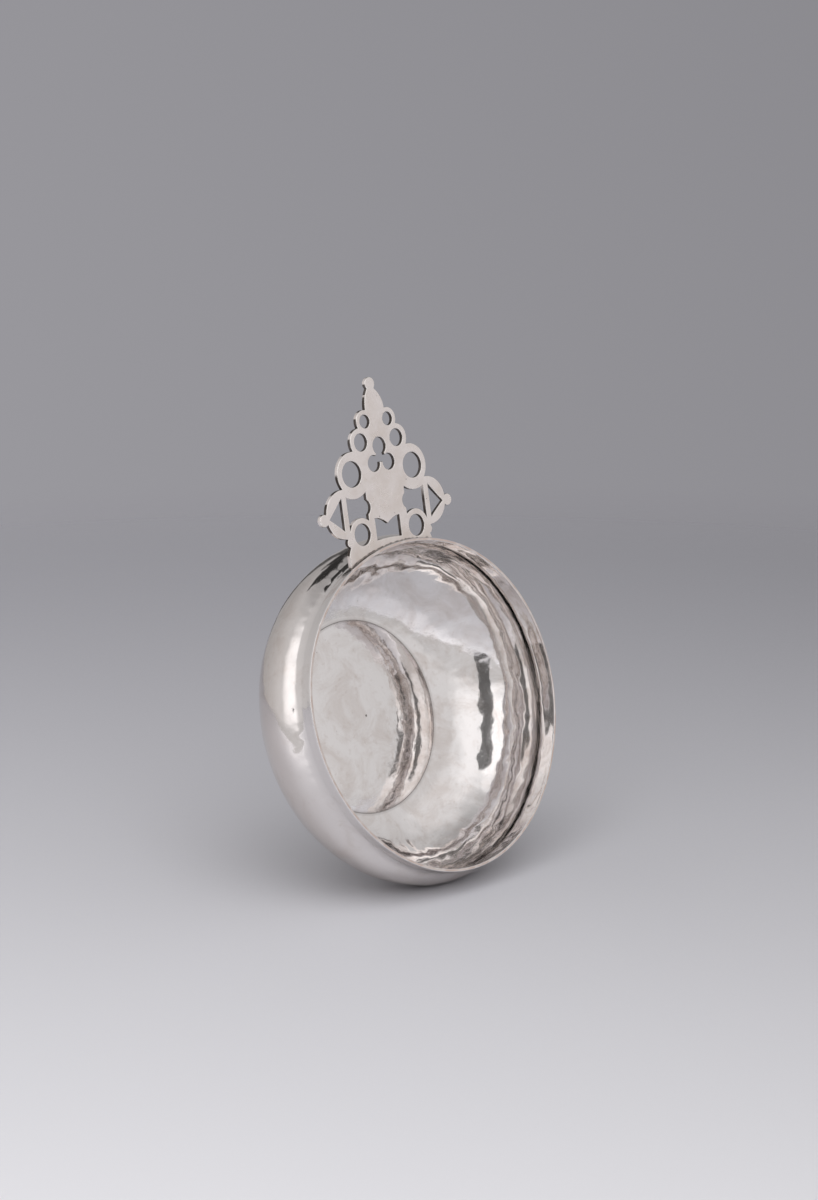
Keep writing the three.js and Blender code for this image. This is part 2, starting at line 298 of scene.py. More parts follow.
class Studio(PropertyGroup):
    """Camera, floor and light."""

    lens: FloatProperty(
        name="Lens", description="Focal length for a sensor 36 mm along the picture's long side",
        default=75, min=20, max=300
    )
    camera_place: FloatVectorProperty(
        name="Camera place", description="Where the camera stands",
        default=(0.057044, 0.663033, 0.746998), subtype="TRANSLATION", unit="LENGTH"
    )
    camera_right: FloatVectorProperty(
        name="Picture right", description="Direction of the picture's right",
        default=(-0.26934, -0.691142, 0.670655), subtype="DIRECTION"
    )
    camera_up: FloatVectorProperty(
        name="Picture up", description="Direction of the picture's top",
        default=(0.96192, -0.226724, 0.152663), subtype="DIRECTION"
    )
    camera_pitch: FloatProperty(
        name="Pitch", description="How far the camera looks down at the floor",
        default=math.radians(12), unit="ROTATION"
    )
    floor_radius: FloatProperty(
        name="Floor radius", description="Radius of the floor round the bowl", default=1.0, unit="LENGTH"
    )
    # Painted light falloff: the floor's colour goes from the near colour to the far one.
    floor_near: FloatVectorProperty(
        name="Floor, near", description="Colour of the floor towards the camera",
        default=(0.898, 0.898, 0.932), subtype="COLOR", min=0, max=1
    )
    floor_far: FloatVectorProperty(
        name="Floor, far", description="Colour of the floor where the backdrop rises",
        default=(0.417, 0.417, 0.4535), subtype="COLOR", min=0, max=1
    )
    backdrop: FloatVectorProperty(
        name="Backdrop", description="Grey of the backdrop",
        default=(0.295, 0.29, 0.312), subtype="COLOR", min=0, max=1
    )
    light_tint: FloatVectorProperty(
        name="Light tint", description="Colour of the studio's light",
        default=(1.02, 1.0, 1.005), subtype="COLOR", min=0, max=2
    )
    overhead_power: FloatProperty(
        name="Overhead power", description="Power of the lamp over the floor", default=16.5, unit="POWER"
    )
    softbox_power: FloatProperty(
        name="Softbox power", description="Power of each of the two softboxes", default=0.1, unit="POWER"
    )


class PorringerSettings(PropertyGroup):
    """All the settings of the porringer."""

    bowl: PointerProperty(type=BowlSizes)
    hammering: PointerProperty(type=BowlHammering)
    handle: PointerProperty(type=HandleSizes)
    solder: PointerProperty(type=SolderSizes)
    finish: PointerProperty(type=SilverFinish)
    studio: PointerProperty(type=Studio)


# Shader nodes

class Recipe:
    """Builds the nodes of one material or of the world."""

    def __init__(self, tree):
        self.tree = tree
        tree.nodes.clear()

    def feed(self, socket, source):
        """Links a socket to another, or sets it to a value or a colour."""
        if isinstance(source, bpy.types.NodeSocket):
            self.tree.links.new(source, socket)
        elif socket.type == "RGBA":
            socket.default_value = (*source[:3], 1.0)
        else:
            socket.default_value = source

    def node(self, kind, *sources, **settings):
        """Adds a node with its settings, and feeds its first sockets in turn."""
        made = self.tree.nodes.new(kind)
        for name, value in settings.items():
            setattr(made, name, value)
        for socket, source in zip(made.inputs, sources):
            self.feed(socket, source)
        return made

    def named(self, kind, sources, **settings):
        """Adds a node with its settings, and feeds its sockets by their names."""
        made = self.node(kind, **settings)
        for name, source in sources.items():
            self.feed(made.inputs[name], source)
        return made

    def place(self):
        """Places on the object, in metres."""
        return self.node("ShaderNodeTexCoord").outputs["Object"]

    def marked(self, name):
        """The values that the mesh is marked with."""
        return self.node("ShaderNodeAttribute", attribute_name=name).outputs["Fac"]

    def math(self, operation, first, second=0.0, third=0.0, clamp=False):
        """The result of one sum."""
        made = self.node("ShaderNodeMath", first, second, third, operation=operation, use_clamp=clamp)
        return made.outputs[0]

    def times(self, first, second):
        """One value times another."""
        return self.math("MULTIPLY", first, second)

    def without(self, value, share):
        """A value that fades to nothing as the share rises to 1."""
        return self.times(value, self.math("SUBTRACT", 1.0, share))

    def most(self, value, *others):
        """The highest of some values."""
        for other in others:
            value = self.math("MAXIMUM", value, other)
        return value

    def add(self, value, *parts):
        """A value with parts added, each times its share, and the whole no more than 1."""
        for number, (part, share) in enumerate(parts, 1):
            value = self.math("ADD", value, self.times(part, share), clamp=number == len(parts))
        return value

    def vector(self, operation, first, second=(0, 0, 0)):
        """The result of one sum with places or directions."""
        made = self.node("ShaderNodeVectorMath", first, second, operation=operation)
        return made.outputs["Value" if operation in ("DOT_PRODUCT", "LENGTH") else "Vector"]

    def ramp(self, value, low, high, start=0.0, end=1.0, kind="SMOOTHSTEP"):
        """Takes a value softly from start to end as it passes from low to high."""
        ends = (value, low, high, start, end)
        return self.node("ShaderNodeMapRange", *ends, interpolation_type=kind, clamp=True).outputs["Result"]

    def slope(self, value, low, high, start=0.0, end=1.0):
        """Takes a value evenly from start to end as it passes from low to high."""
        return self.ramp(value, low, high, start, end, "LINEAR")

    def band(self, value, low, high, edge):
        """1 between low and high, with soft edges."""
        rise = self.ramp(value, low - edge, low + edge)
        return self.times(rise, self.ramp(value, high - edge, high + edge, 1.0, 0.0))

    def mix(self, share, first, second):
        """A first colour that turns into a second as the share rises to 1."""
        made = self.node("ShaderNodeMix", share, data_type="RGBA")
        first_colour, second_colour = [socket for socket in made.inputs if socket.type == "RGBA"]
        self.feed(first_colour, first)
        self.feed(second_colour, second)
        return next(socket for socket in made.outputs if socket.type == "RGBA")

    def noise(self, place, scale, detail=2.0, roughness=0.5, distortion=0.0):
        """Cloudy noise, with its scale in clouds to the metre."""
        sources = {"Vector": place, "Scale": scale, "Detail": detail, "Roughness": roughness}
        return self.named("ShaderNodeTexNoise", {**sources, "Distortion": distortion}).outputs["Fac"]

    def cells(self, place, scale, feature="F1"):
        """How far the nearest of some scattered points is."""
        made = self.named("ShaderNodeTexVoronoi", {"Vector": place, "Scale": scale}, feature=feature)
        return made.outputs["Distance"]

    def pits(self, place, scale, bottom, edge):
        """Small round pits as 1 on 0."""
        return self.ramp(self.cells(place, scale), bottom, edge, 1.0, 0.0)

    def scratches(self, place, turn, fineness, share):
        """Fine scratches that run one way, as lines of 1 on 0."""
        stretch = (fineness, fineness / 40, fineness)
        run = self.named("ShaderNodeMapping", {"Vector": place, "Rotation": turn, "Scale": stretch})
        return self.ramp(self.noise(run.outputs["Vector"], 1.0, 1.0, 0.5, 0.15), share, share + 0.05)

    def bumps(self, *layers):
        """The surface's normal over layers of bumps, each with its shape and its depth in millimetres."""
        below = {}
        for shape, depth in layers:
            made = self.named("ShaderNodeBump", {"Height": shape, "Distance": depth * MM, **below})
            below = {"Normal": made.outputs["Normal"]}
        return made.outputs["Normal"]

    def join(self, share, first, second):
        """A first shader that turns into a second as the share rises to 1."""
        return self.node("ShaderNodeMixShader", share, first.outputs[0], second.outputs[0]).outputs[0]


def new_material(name):
    """An empty material, and the recipe that fills it."""
    material = bpy.data.materials.new(name)
    material.use_nodes = True
    return material, Recipe(material.node_tree)


def metal(recipe, base, roughness, normal):
    """A metal surface from its colour, roughness and normal."""
    sources = {"Metallic": 1.0, "Base Color": base, "Roughness": roughness, "Normal": normal}
    shader = recipe.named("ShaderNodeBsdfPrincipled", sources)
    recipe.named("ShaderNodeOutputMaterial", {"Surface": shader.outputs["BSDF"]})


def bowl_silver(finish):
    """Polished and hammered silver, with thin clouds of tarnish, scratches, pits, grime with painted shade in the
    crease, and painted shade over the outside below the belly.
    """
    material, recipe = new_material("polished_silver")
    place = recipe.place()

    clouds = recipe.ramp(recipe.noise(place, 70.0, 6.0, 0.66, 0.8), 0.4, 0.7)
    specks = recipe.ramp(recipe.noise(place, 420.0, 3.0, 0.6), 0.56, 0.75, 0.0, 0.55)
    tarnish = recipe.add(recipe.times(clouds, 0.6), (specks, 0.55))
    # Painted shade: the outside is darkened in the tarnish's colour, most below the belly, which dims its
    # reflection of the floor. The tarnish share below carries this shade too.
    painted_outside_shade = recipe.times(recipe.marked("painted_outside_shade"), recipe.ramp(tarnish, 0.0, 0.7, 0.66, 1.0))
    tarnish = recipe.without(recipe.most(tarnish, painted_outside_shade), recipe.marked("worn"))
    base = recipe.mix(tarnish, finish.bowl_colour, finish.bowl_tarnish_and_shade)

    bloom = recipe.ramp(recipe.noise(place, 260.0, 3.0), 0.35, 0.6, 0.55, 1.0)
    base = recipe.mix(recipe.times(recipe.marked("rim_flat"), bloom), base, finish.rim_tarnish)

    pitted_places = recipe.ramp(recipe.noise(place, 90.0, 2.0), 0.54, 0.6)
    pits = recipe.times(recipe.pits(place, 260.0, 0.02, 0.05), pitted_places)
    # Grime in the crease, the punch mark and the neck, and dark pits. The dark line in the crease is old polish
    # and painted shade of the crease.
    dirt_and_shade = recipe.most(recipe.times(recipe.marked("grime_and_shade"), 0.8), recipe.times(pits, 0.7))
    base = recipe.mix(dirt_and_shade, base, finish.grime_and_shade)

    lines = recipe.most(
        recipe.scratches(place, (0.3, 0.2, 0.5), 2400.0, 0.66),
        recipe.scratches(place, (1.1, -0.4, 2.1), 2900.0, 0.67),
        recipe.scratches(place, (-0.7, 0.9, 1.2), 3300.0, 0.68),
    )
    haze = recipe.noise(place, 95.0, 4.0, 0.6)
    roughness = recipe.slope(haze, 0.3, 0.75, finish.bowl_roughness, finish.bowl_roughness + 0.05)
    roughness = recipe.add(roughness, (lines, 0.1), (tarnish, 0.03), (dirt_and_shade, 0.35))

    blow_edges = recipe.cells(place, 165.0, "SMOOTH_F1")
    blows = recipe.noise(place, 230.0, 1.0, 0.4, 0.3)
    ripples = recipe.noise(place, 480.0, 2.0, 0.5, 0.4)
    grain = recipe.noise(place, 900.0, 2.0, 0.5)
    hammered = (blow_edges, 0.03), (blows, 0.05), (ripples, 0.014)
    normal = recipe.bumps(*hammered, (grain, 0.003), (lines, 0.002), (recipe.times(pits, -1.0), 0.06))
    metal(recipe, base, roughness, normal)
    return material


def past_lip(recipe, place, bowl):
    """How far a place is outside the lip, which isn't quite round."""
    level = recipe.vector("MULTIPLY", recipe.vector("SUBTRACT", place, tuple(foot_centre())), (1, 1, 0))
    parts = recipe.node("ShaderNodeSeparateXYZ", level).outputs
    bearing = recipe.math("ARCTAN2", parts["Y"], parts["X"])
    lip = bowl.rim_radius
    waves = (2, bowl.oval, bowl.oval_bearing), (3, bowl.lobed, bowl.lobed_bearing)
    for count, stands_out, direction in waves:
        turn = recipe.math("MULTIPLY_ADD", bearing, float(count), -count * direction)
        lip = recipe.math("MULTIPLY_ADD", recipe.math("COSINE", turn), stands_out, lip)
    return recipe.math("SUBTRACT", recipe.vector("LENGTH", level), lip)


def handle_silver(finish, bowl):
    """Cast silver, filed flat and rubbed to a satin, with bright worn edges and painted shade on the walls of the
    piercing.
    """
    material, recipe = new_material("rubbed_cast_silver")
    place = recipe.place()
    worn = recipe.marked("worn")
    uneven = recipe.ramp(recipe.noise(place, 600.0), 0.3, 0.7, -0.25 * MM, 0.25 * MM)
    past = recipe.math("ADD", past_lip(recipe, place, bowl), uneven)
    joint = recipe.ramp(past, 0.1 * MM, 0.75 * MM, 1.0, 0.0)
    root = recipe.ramp(past, 1.0 * MM, 9.0 * MM, 1.0, 0.0)

    clouds = recipe.ramp(recipe.noise(place, 75.0, 6.0, 0.66, 0.5), 0.4, 0.68)
    tarnish = recipe.add(recipe.times(clouds, 0.5), (root, 0.35))
    tarnish = recipe.times(tarnish, recipe.ramp(worn, 0.0, 1.0, 1.0, 0.15))
    base = recipe.mix(tarnish, finish.handle_colour, finish.handle_tarnish)

    # Painted shade: the walls of the piercing darken where another wall stands close in front. The joint at the
    # lip is a dark line of its own.
    patchy = recipe.ramp(recipe.noise(place, 300.0, 3.0), 0.3, 0.6, 0.88, 1.0)
    walls = recipe.times(recipe.ramp(recipe.marked("shaded"), 0.03, 0.3), patchy)
    dirt_and_shade = recipe.most(walls, recipe.times(joint, 0.9))
    base = recipe.mix(dirt_and_shade, base, finish.grime_and_shade)
    base = recipe.mix(recipe.times(worn, 0.75), base, finish.worn_edge)

    pitted_places = recipe.ramp(recipe.noise(place, 300.0, 1.0), 0.52, 0.6)
    pits = recipe.times(recipe.pits(place, 420.0, 0.05, 0.14), pitted_places)
    base = recipe.mix(recipe.times(pits, 0.6), base, finish.grime_and_shade)

    lines = recipe.most(
        recipe.scratches(place, (0.2, 0.1, 0.35), 2600.0, 0.6),
        recipe.scratches(place, (0.1, 0.2, 1.9), 3100.0, 0.62),
    )
    haze = recipe.noise(place, 240.0, 4.0, 0.6)
    roughness = recipe.slope(haze, 0.3, 0.7, finish.handle_roughness - 0.06, finish.handle_roughness + 0.1)
    roughness = recipe.times(roughness, recipe.ramp(worn, 0.0, 1.0, 1.0, 0.45))
    roughness = recipe.add(roughness, (dirt_and_shade, 0.2), (lines, 0.06))

    waves = recipe.noise(place, 190.0, 2.0, 0.5, 0.2)
    grain = recipe.noise(place, 1500.0, 3.0, 0.6)
    normal = recipe.bumps((waves, 0.08), (grain, 0.0025), (lines, 0.003), (recipe.times(pits, -1.0), 0.06))
    metal(recipe, base, roughness, normal)
    return material


def solder_silver(finish):
    """Solder as it flowed: dull, rippled and a little pitted."""
    material, recipe = new_material("flowed_solder")
    place = recipe.place()
    clouds = recipe.ramp(recipe.noise(place, 260.0, 4.0, 0.6, 0.4), 0.38, 0.7)
    base = recipe.mix(recipe.times(clouds, 0.7), finish.solder_colour, finish.handle_tarnish)
    pits = recipe.pits(place, 600.0, 0.06, 0.2)
    base = recipe.mix(recipe.times(pits, 0.45), base, finish.grime_and_shade)
    roughness = recipe.slope(recipe.noise(place, 500.0, 3.0), 0.3, 0.7, 0.34, 0.52)
    ripples = recipe.noise(place, 420.0, 2.0)
    metal(recipe, base, roughness, recipe.bumps((ripples, 0.06), (recipe.times(pits, -1.0), 0.05)))
    return material


# Mesh helpers

def show(name, mesh, material, slot_name, *nodes):
    """Puts a finished mesh in the scene, riding on the body, in place of its nodes of the frame."""
    piece = bpy.data.objects.new(name, mesh)
    bpy.context.scene.collection.objects.link(piece)
    mesh.materials.clear()
    mesh.materials.append(material)
    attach(piece, BODY)
    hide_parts(*nodes)
    return piece


def opened(mesh, gap):
    """A mesh opened for work, with points closer than the gap joined."""
    bm = bmesh.new()
    bm.from_mesh(mesh)
    bmesh.ops.remove_doubles(bm, verts=bm.verts, dist=gap)
    return bm


def keep_in_box(places, lowest, highest):
    """Moves places back that hammering or wear took outside the frame's box."""
    return np.clip(places, np.array(lowest), np.array(highest))


def mark(mesh, name, values):
    """Marks each point of a mesh with a value that its material reads."""
    attribute = mesh.attributes.new(name, "FLOAT", "POINT")
    attribute.data.foreach_set("value", np.asarray(values, np.float32))


def noise_along(places, span, shift=0.0):
    """Smooth noise from -1 to 1 at each place."""
    return np.array([noise.noise(Vector(place) / span + Vector((shift, 0, 0))) for place in places])


def smoothstep(value, low, high):
    """Rises softly from 0 to 1 as a value passes from low to high."""
    share = np.clip((value - low) / (high - low), 0, 1)
    return share * share * (3 - 2 * share)


def close_to_zero(distance, reach):
    """1 at a distance of 0, and softly down to nothing past the reach."""
    return np.exp(-((distance / reach) ** 2))


def axes_matrix(x_axis, y_axis, z_axis, place):
    """The matrix that turns an object to three axes and puts it in a place."""
    matrix = Matrix((x_axis, y_axis, z_axis)).transposed().to_4x4()
    matrix.translation = place
    return matrix


# Bowl

# Steps up the lower wall outside and inside, up the shoulder, up the lip and over the rim
OUTSIDE, INSIDE, SHOULDER, LIP, RIM = 52, 60, 22, 12, 17

# Radii in millimetres of the rings in the middle of the boss, and how many follow them
PUNCHED_RINGS = (0, 0.12, 0.25, 0.38, 0.5, 0.65, 0.85, 1.1, 1.5, 2.2, 3.2)
PLAIN_RINGS = (0, 1.5, 3)
PUNCHED_FOLLOW, PLAIN_FOLLOW = 30, 14

# Only what is farther out than this share of the rim's radius belongs to the lip and its neck
LIP_SHARE = 0.85

# The share of the lip's height that stays in its place where its inside leans out
LEAN_MIDDLE = 0.35


def cubic(points, steps):
    """Places and directions along a cubic curve."""
    t = np.linspace(0, 1, steps + 1)[:, None]
    a, b, c, d = (np.array(point) for point in points)
    places = a * (1 - t) ** 3 + 3 * b * t * (1 - t) ** 2 + 3 * c * t**2 * (1 - t) + d * t**3
    along = 3 * (b - a) * (1 - t) ** 2 + 6 * (c - b) * t * (1 - t) + 3 * (d - c) * t**2
    return places, along / np.linalg.norm(along, axis=1)[:, None]


def wall_line(curves, steps, thickness):
    """Points up the two curves of the wall, each moved in by the metal's thickness."""
    lines = []
    for curve, count in zip(curves, steps):
        places, along = cubic(curve, count)
        lines.append(places + thickness * np.stack([-along[:, 1], along[:, 0]], 1))
    return np.concatenate([lines[0], lines[1][1:]])


def soften(line, corner, reach, steps):
    """Rounds the corner of a line that lies nearest to a place."""
    middle = int(np.argmin(np.linalg.norm(line - corner, axis=1)))
    before = line[:middle][np.linalg.norm(line[:middle] - line[middle], axis=1) > reach]
    after = line[middle + 1:][np.linalg.norm(line[middle + 1:] - line[middle], axis=1) > reach]
    into = line[middle - 1] - line[middle]
    out = line[middle + 1] - line[middle]
    start = line[middle] + into / np.linalg.norm(into) * reach
    end = line[middle] + out / np.linalg.norm(out) * reach
    t = np.linspace(0, 1, steps + 1)[:, None]
    curve = start * (1 - t) ** 2 + 2 * line[middle] * t * (1 - t) + end * t**2
    return np.concatenate([before, curve, after])


def boss_line(sizes, radius, height, rings, follow):
    """The boss, from the axis to its edge."""
    reach = np.concatenate([np.array(rings) * MM, np.linspace(4.4 * MM, radius, follow)])
    return np.stack([reach, height + sizes.boss_rise * (1 - (reach / radius) ** sizes.boss_flatness)], 1)


def bowl_profile(sizes, hammering):
    """The section of the bowl from under the boss, up the outside, over the rim and down the inside."""
    neck_radius = sizes.rim_radius - sizes.lip_flare
    neck_height = sizes.height - sizes.lip_height
    foot_inner = sizes.crease_radius - sizes.wall
    foot_outer = foot_inner + sizes.foot_width
    rise, reach = sizes.foot_rise, sizes.foot_reach
    slope, lean = sizes.shoulder_slope, sizes.shoulder_lean
    lower = (
        (foot_outer, 0),
        (foot_outer + reach * math.cos(rise), reach * math.sin(rise)),
        (sizes.belly_radius, sizes.belly_height - sizes.belly_drop),
        (sizes.belly_radius, sizes.belly_height),
    )
    shoulder = (
        (sizes.belly_radius, sizes.belly_height),
        (sizes.belly_radius, sizes.belly_height + sizes.shoulder_rise),
        (neck_radius + lean * math.sin(slope), neck_height - lean * math.cos(slope)),
        (neck_radius, neck_height),
    )
    half = sizes.rim_thickness / 2
    angle = np.linspace(0, math.pi, RIM)
    power = 2 / sizes.rim_squareness
    edge = np.stack([
        sizes.rim_radius - half + half * np.sign(np.cos(angle)) * np.abs(np.cos(angle)) ** power,
        sizes.height - half + half * np.abs(np.sin(angle)) ** power,
    ], 1)
    outer = wall_line((lower, shoulder), (OUTSIDE, SHOULDER), 0)
    inner = wall_line((lower, shoulder), (INSIDE, SHOULDER), sizes.wall)[::-1]
    up_lip = np.linspace(outer[-1], edge[0], LIP)[1:-1]
    down_lip = np.linspace(edge[-1], inner[0], LIP)[1:-1]
    under = boss_line(sizes, foot_inner, 0, PLAIN_RINGS, PLAIN_FOLLOW)
    foot = np.linspace(under[-1], outer[0], 5)[1:-1]
    over = boss_line(sizes, sizes.crease_radius, sizes.crease_thickness, PUNCHED_RINGS, PUNCHED_FOLLOW)[::-1]
    over[:, 1] -= hammering.punch_depth * (1 - smoothstep(over[:, 0], 0, hammering.punch_radius))
    line = np.concatenate([under, foot, outer, up_lip, edge, down_lip, inner, over])
    line = soften(line, outer[-1], 0.3 * MM, 6)
    line = soften(line, inner[0], 1.8 * MM, 10)
    return soften(line, over[0], 0.22 * MM, 4)


def out_of_round(bearing, sizes):
    """How far the wall stands out at a bearing, as a share of its true radius."""
    oval = sizes.oval * np.cos(2 * (bearing - sizes.oval_bearing))
    lobed = sizes.lobed * np.cos(3 * (bearing - sizes.lobed_bearing))
    return (oval + lobed) / sizes.rim_radius


def foot_centre():
    """Where the bowl's axis stands, from the frame's foot ring."""
    places = np.array([vertex.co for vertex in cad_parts["bowl"].data.vertices])
    ring = places[places[:, 2] < 0.1 * MM]
    middle = (ring.min(0) + ring.max(0)) / 2
    return np.array([middle[0], middle[1], 0.0])


class Rings:
    """The bowl's points, ring by ring, without the two on its axis."""

    def __init__(self, line, turns):
        along = np.gradient(line, axis=0)[1:-1]
        along /= np.linalg.norm(along, axis=1)[:, None]
        self.count, self.turns = len(along), turns
        self.bearings = np.arange(turns) / turns * 2 * math.pi
        self.turn = np.tile(self.bearings, self.count)
        self.radius = np.repeat(line[1:-1, 0], turns)
        self.height = self.drawn_height = np.repeat(line[1:-1, 1], turns)
        self.facing_out = np.repeat(along[:, 1], turns)
        self.facing_up = np.repeat(-along[:, 0], turns)
        self.outside = np.repeat(np.arange(self.count) < np.argmax(line[1:-1, 1]), turns)

    def places(self):
        """The points in space, round an axis at the origin."""
        return np.stack([self.radius * np.cos(self.turn), self.radius * np.sin(self.turn), self.height], 1)

    def away_from(self, bearing):
        """How far round each point is from a bearing."""
        return (self.turn - bearing + math.pi) % (2 * math.pi) - math.pi

    def faces(self):
        """Squares between the rings, and triangles to the two points on the axis, which come last."""
        turns, first = self.turns, self.count * self.turns
        top = first - turns
        pairs = [(i, (i + 1) % turns) for i in range(turns)]
        faces = []
        for low in range(0, top, turns):
            faces += [(low + i, low + j, low + turns + j, low + turns + i) for i, j in pairs]
        faces += [(first, j, i) for i, j in pairs]
        return faces + [(first + 1, top + i, top + j) for i, j in pairs]


def hammer(rings, sizes, hammering):
    """Lets the neck wander, and presses facets in, more weakly on the boss, outside and at the rim."""
    bearings = rings.bearings
    around = sizes.rim_radius * np.stack([np.cos(bearings), np.sin(bearings), 0 * bearings], 1)
    span = hammering.neck_span
    wander = noise_along(around, span) + 0.7 * noise_along(around, span * 0.4, 31.0)
    at_neck = close_to_zero(rings.height - (sizes.height - sizes.lip_height), 2.2 * MM)
    at_neck = at_neck * (rings.radius > LIP_SHARE * sizes.rim_radius)
    rings.height = rings.height + hammering.neck_wander * np.tile(wander, rings.count) * at_neck

    places, span = rings.places(), hammering.facet_span
    facets = noise_along(places, span) + 0.4 * noise_along(places, span * 0.45, 17.0)
    on_wall = smoothstep(rings.radius, 41 * MM, 46 * MM)
    on_boss = 1 - smoothstep(rings.radius, 34 * MM, 38 * MM)
    free = (on_wall + 0.35 * on_boss) * (1 - 0.25 * (rings.facing_out > 0))
    near_rim = smoothstep(rings.height, sizes.height - 3 * MM, sizes.height)
    depth = hammering.facet_depth * (facets - 1.2) * free * (1 - 0.7 * near_rim)
    rings.radius = rings.radius + depth * rings.facing_out
    rings.height = rings.height + depth * rings.facing_up * (1 - (rings.height < 0.3 * MM))


def wear(rings, sizes, hammering):
    """Leans the lip's inside out where it is thin, and nicks the rim."""
    thin = np.exp(-((rings.away_from(hammering.thin_bearing) / (0.6 * hammering.thin_width)) ** 4))
    inside = smoothstep(sizes.rim_radius - rings.radius, 0.45 * MM, 1.15 * MM)
    inside = inside * (rings.radius > LIP_SHARE * sizes.rim_radius)
    up_lip = (rings.height - (sizes.height - sizes.lip_height)) / sizes.lip_height
    below_neck = -LEAN_MIDDLE * (1 - smoothstep(-up_lip, 0, 0.7))
    lean = np.where(up_lip > 0, up_lip - LEAN_MIDDLE, below_neck)
    rings.radius = rings.radius + hammering.thin_lean * thin * inside * lean

    nick = close_to_zero(rings.away_from(hammering.nick_bearing) * sizes.rim_radius, hammering.nick_width / 2)
    nick = nick * smoothstep(rings.height, sizes.height - 1.1 * MM, sizes.height - 0.2 * MM)
    rings.height = rings.height - hammering.nick_depth * nick


def mark_bowl(mesh, rings, places, centre, sizes):
    """Marks the grime with the painted shade of the crease, the worn places, the painted shade over the outside
    and the flat of the rim.
    """
    from_axis = np.hypot(places[:, 0] - centre[0], places[:, 1] - centre[1])
    level = places[:, 2]
    # The crease round the boss gets a dark line of old polish and painted shade.
    crease = close_to_zero(from_axis - sizes.crease_radius, 0.2 * MM) * (level > 0.4 * MM)
    punch = (1 - smoothstep(from_axis, 0.3 * MM, 0.6 * MM)) * (level > 2.8 * MM)
    inside_bowl = np.clip(crease + punch, 0, 1) * (level < 6 * MM)
    outer_face = np.append(rings.facing_out > 0.5, [False, False])
    off_neck = np.append(rings.drawn_height - (sizes.height - sizes.lip_height), [1, 1])
    at_neck = close_to_zero(off_neck, 0.35 * MM) * outer_face * np.clip(3 * noise_along(places, 1.6 * MM), 0, 1)
    mark(mesh, "grime_and_shade", np.clip(inside_bowl + at_neck * (level > 0.7 * sizes.height), 0, 1))
    mark(mesh, "worn", smoothstep(level, sizes.height - 1.2 * MM, sizes.height - 0.2 * MM))
    # Painted shade over the outside, at 0.4 and rising to full below the belly.
    below_belly = 1 - smoothstep(level, sizes.belly_height - 4 * MM, sizes.belly_height + 8 * MM)
    mark(mesh, "painted_outside_shade", np.append(rings.outside, [True, False]) * (0.4 + 0.6 * below_belly))
    upright = np.append(np.abs(rings.facing_out), [1, 1])
    mark(mesh, "rim_flat", (1 - smoothstep(upright, 0.1, 0.5)) * (level > sizes.height - 0.6 * MM))


def bowl_mesh(sizes, hammering):
    """The bowl, turned from its section, and then hammered and worn."""
    line = bowl_profile(sizes, hammering)
    rings = Rings(line, sizes.segments)
    hammer(rings, sizes, hammering)
    wear(rings, sizes, hammering)
    rings.radius = rings.radius * (
        1 + smoothstep(rings.height, 0, sizes.belly_height) * out_of_round(rings.turn, sizes)
    )
    ends = np.array([[0, 0, line[0, 1]], [0, 0, line[-1, 1]]])
    centre = foot_centre()
    places = keep_in_box(np.concatenate([rings.places(), ends]) + centre, *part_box("bowl"))
    mesh = bpy.data.meshes.new("bowl_raised")
    mesh.from_pydata(places.tolist(), [], rings.faces())
    mesh.shade_smooth()
    mark_bowl(mesh, rings, places, centre, sizes)
    return mesh


# Handle

def plate_face():
    """The flat face of the frame's handle: its loops of edges, and a matrix that lays them flat."""
    bm = opened(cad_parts["handle"].data, 0.001 * MM)
    bm.normal_update()
    normal = Vector()
    for face in bm.faces:
        if face.normal.z > 0.95:
            normal += face.normal * face.calc_area()
    normal.normalize()
    level = max(vertex.co.dot(normal) for vertex in bm.verts)
    facing = [face for face in bm.faces if face.normal.dot(normal) > 0.999]
    top = {face for face in facing if abs(face.verts[0].co.dot(normal) - level) < 0.01 * MM}
    out = (Vector((1, 0, 0)) - normal * normal.x).normalized()
    lay = axes_matrix(out, normal.cross(out), normal, normal * level)
    following = {}
    for face in top:
        for loop in face.loops:
            if not any(other in top and other is not face for other in loop.edge.link_faces):
                following[loop.vert] = loop.link_loop_next.vert
    rounds = []
    while following:
        loop, here = [], next(iter(following))
        while here in following:
            loop.append(here.co.copy())
            here = following.pop(here)
        rounds.append(np.array([lay.inverted() @ place for place in loop])[:, :2])
    bm.free()
    return rounds, lay


def plate_thickness(lay):
    """Thickness of the frame's handle, across its flat face."""
    normal = lay.to_3x3().col[2]
    depths = [vertex.co.dot(normal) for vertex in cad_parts["handle"].data.vertices]
    return max(depths) - min(depths)


def turning(loop):
    """How sharply a loop turns at each of its points."""
    before = loop - np.roll(loop, 1, axis=0)
    after = np.roll(loop, -1, axis=0) - loop
    cross = before[:, 0] * after[:, 1] - before[:, 1] * after[:, 0]
    return np.abs(np.arctan2(cross, (before * after).sum(1)))


def smooth_curve(points, step):
    """A smooth curve through points, from the second to the last but one."""
    curve = []
    for p0, p1, p2, p3 in zip(points, points[1:], points[2:], points[3:]):
        count = max(int(np.linalg.norm(p2 - p1) / step), 1)
        t = np.linspace(0, 1, count, endpoint=False)[:, None]
        curve.append(0.5 * (
            2 * p1 + (p2 - p0) * t + (2 * p0 - 5 * p1 + 4 * p2 - p3) * t**2 + (3 * p1 - p0 - 3 * p2 + p3) * t**3
        ))
    return np.concatenate(curve)


